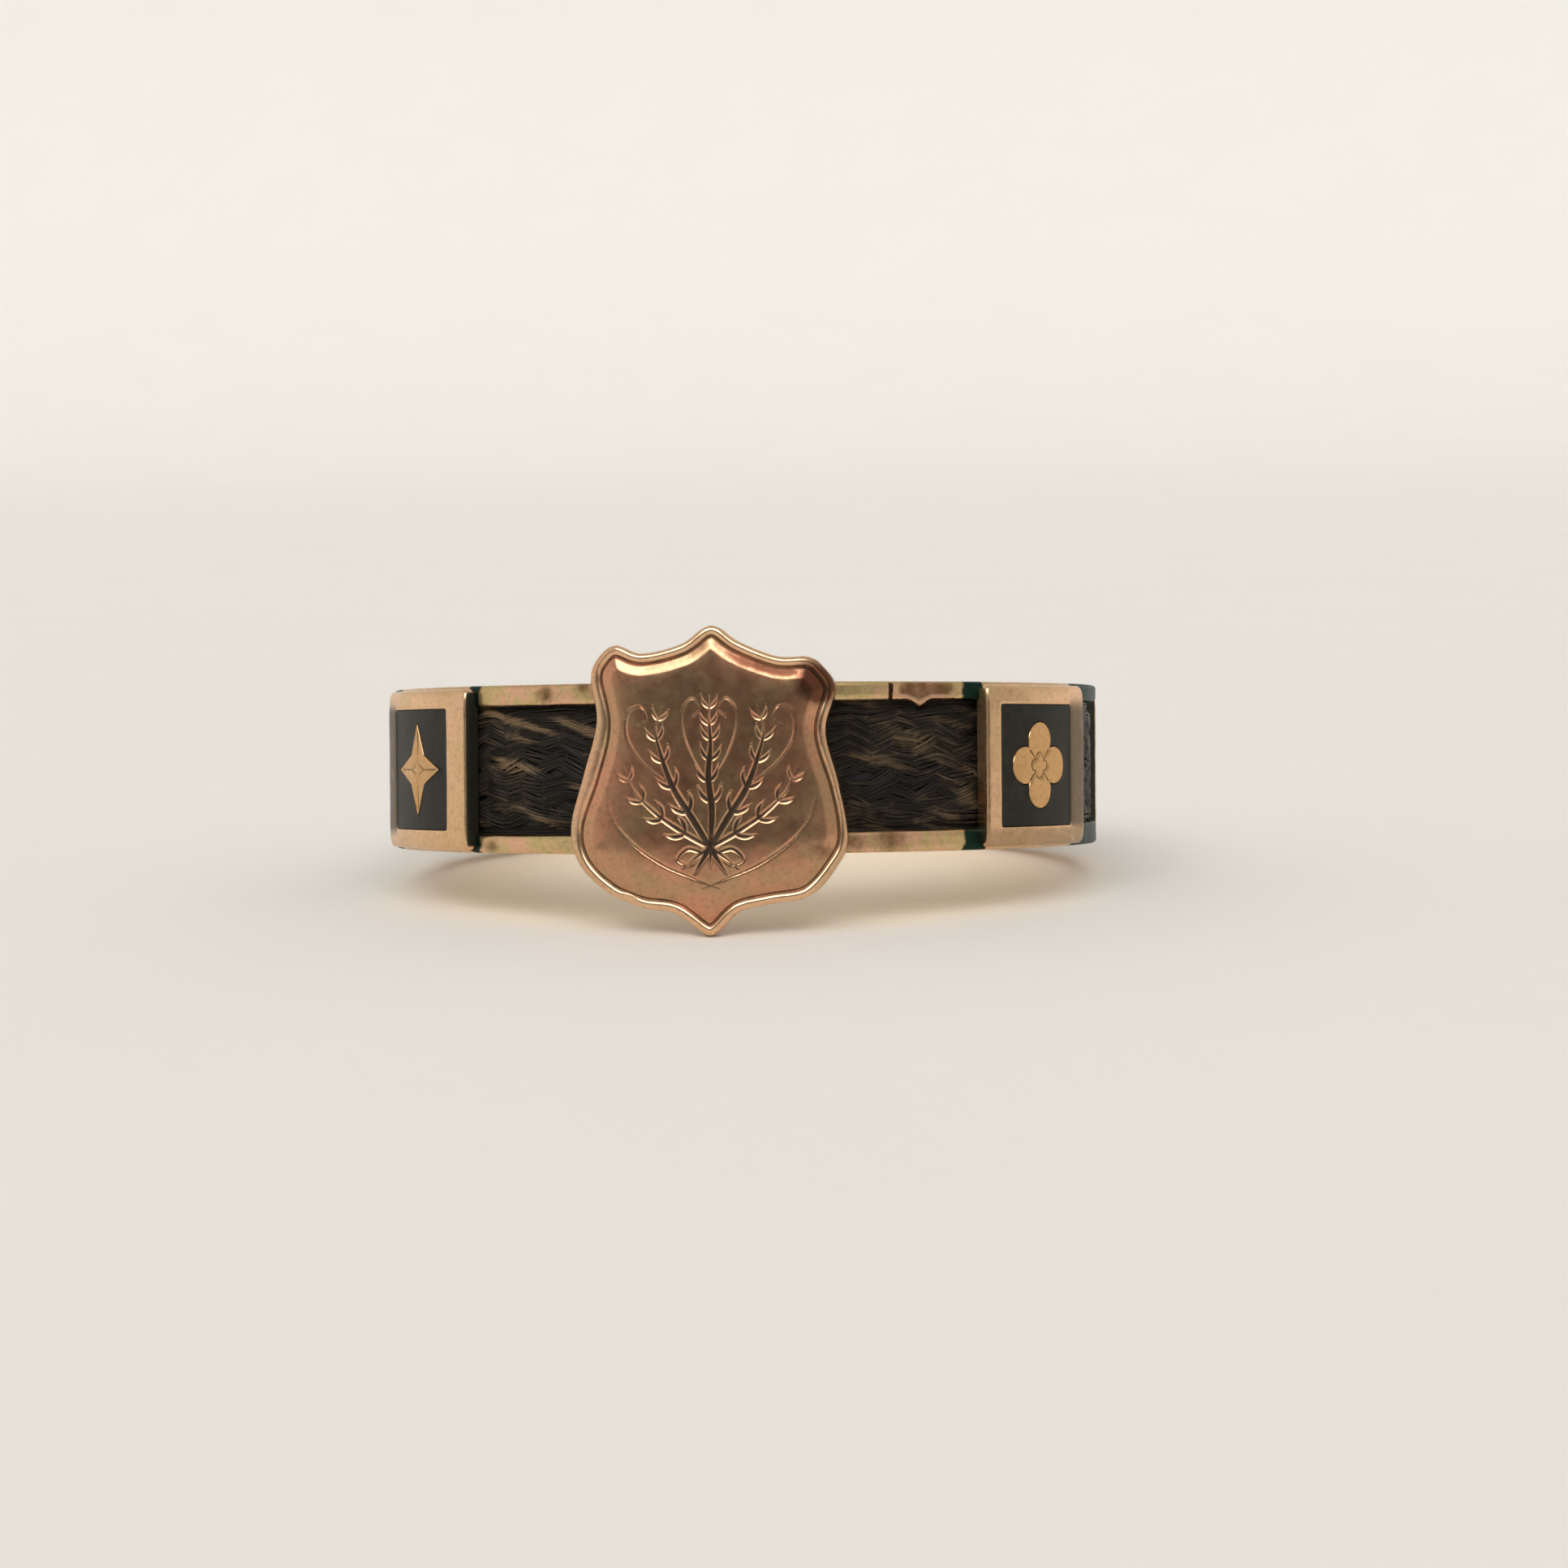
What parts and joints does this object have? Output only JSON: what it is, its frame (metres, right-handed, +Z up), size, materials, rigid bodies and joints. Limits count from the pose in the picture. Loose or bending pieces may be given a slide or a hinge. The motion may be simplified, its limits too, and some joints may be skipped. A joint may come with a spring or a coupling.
{
  "type": "regard ring",
  "caption": "Finger ring lying on its side: a gold channel filled with woven hair, with enamelled plaques round it and a raised shield plate in front.",
  "frame": {"origin": "centre of the footprint of the ring's box, on the surface that the ring lies on", "axes": "+Z up from that surface, -Y towards the shield plate, +X to the right when looking at the shield; the ring's own axis leans 6 degrees from +Z towards +Y, because the shield's lower point and the rail's back edge are what it rests on"},
  "size_m": [0.0198, 0.021, 0.0078],
  "materials": {
    "gold": "worn satin rose gold with tarnish by the plaques",
    "hair": "tightly woven dark brown hair",
    "enamel": "satin black enamel, slightly scratched"
  },
  "bodies": {
    "root": {"band": "gold", "hair_weave": "hair", "enamel_1": "enamel", "enamel_2": "enamel", "enamel_3": "enamel", "enamel_4": "enamel", "enamel_5": "enamel", "enamel_6": "enamel"}
  },
  "joints": []
}
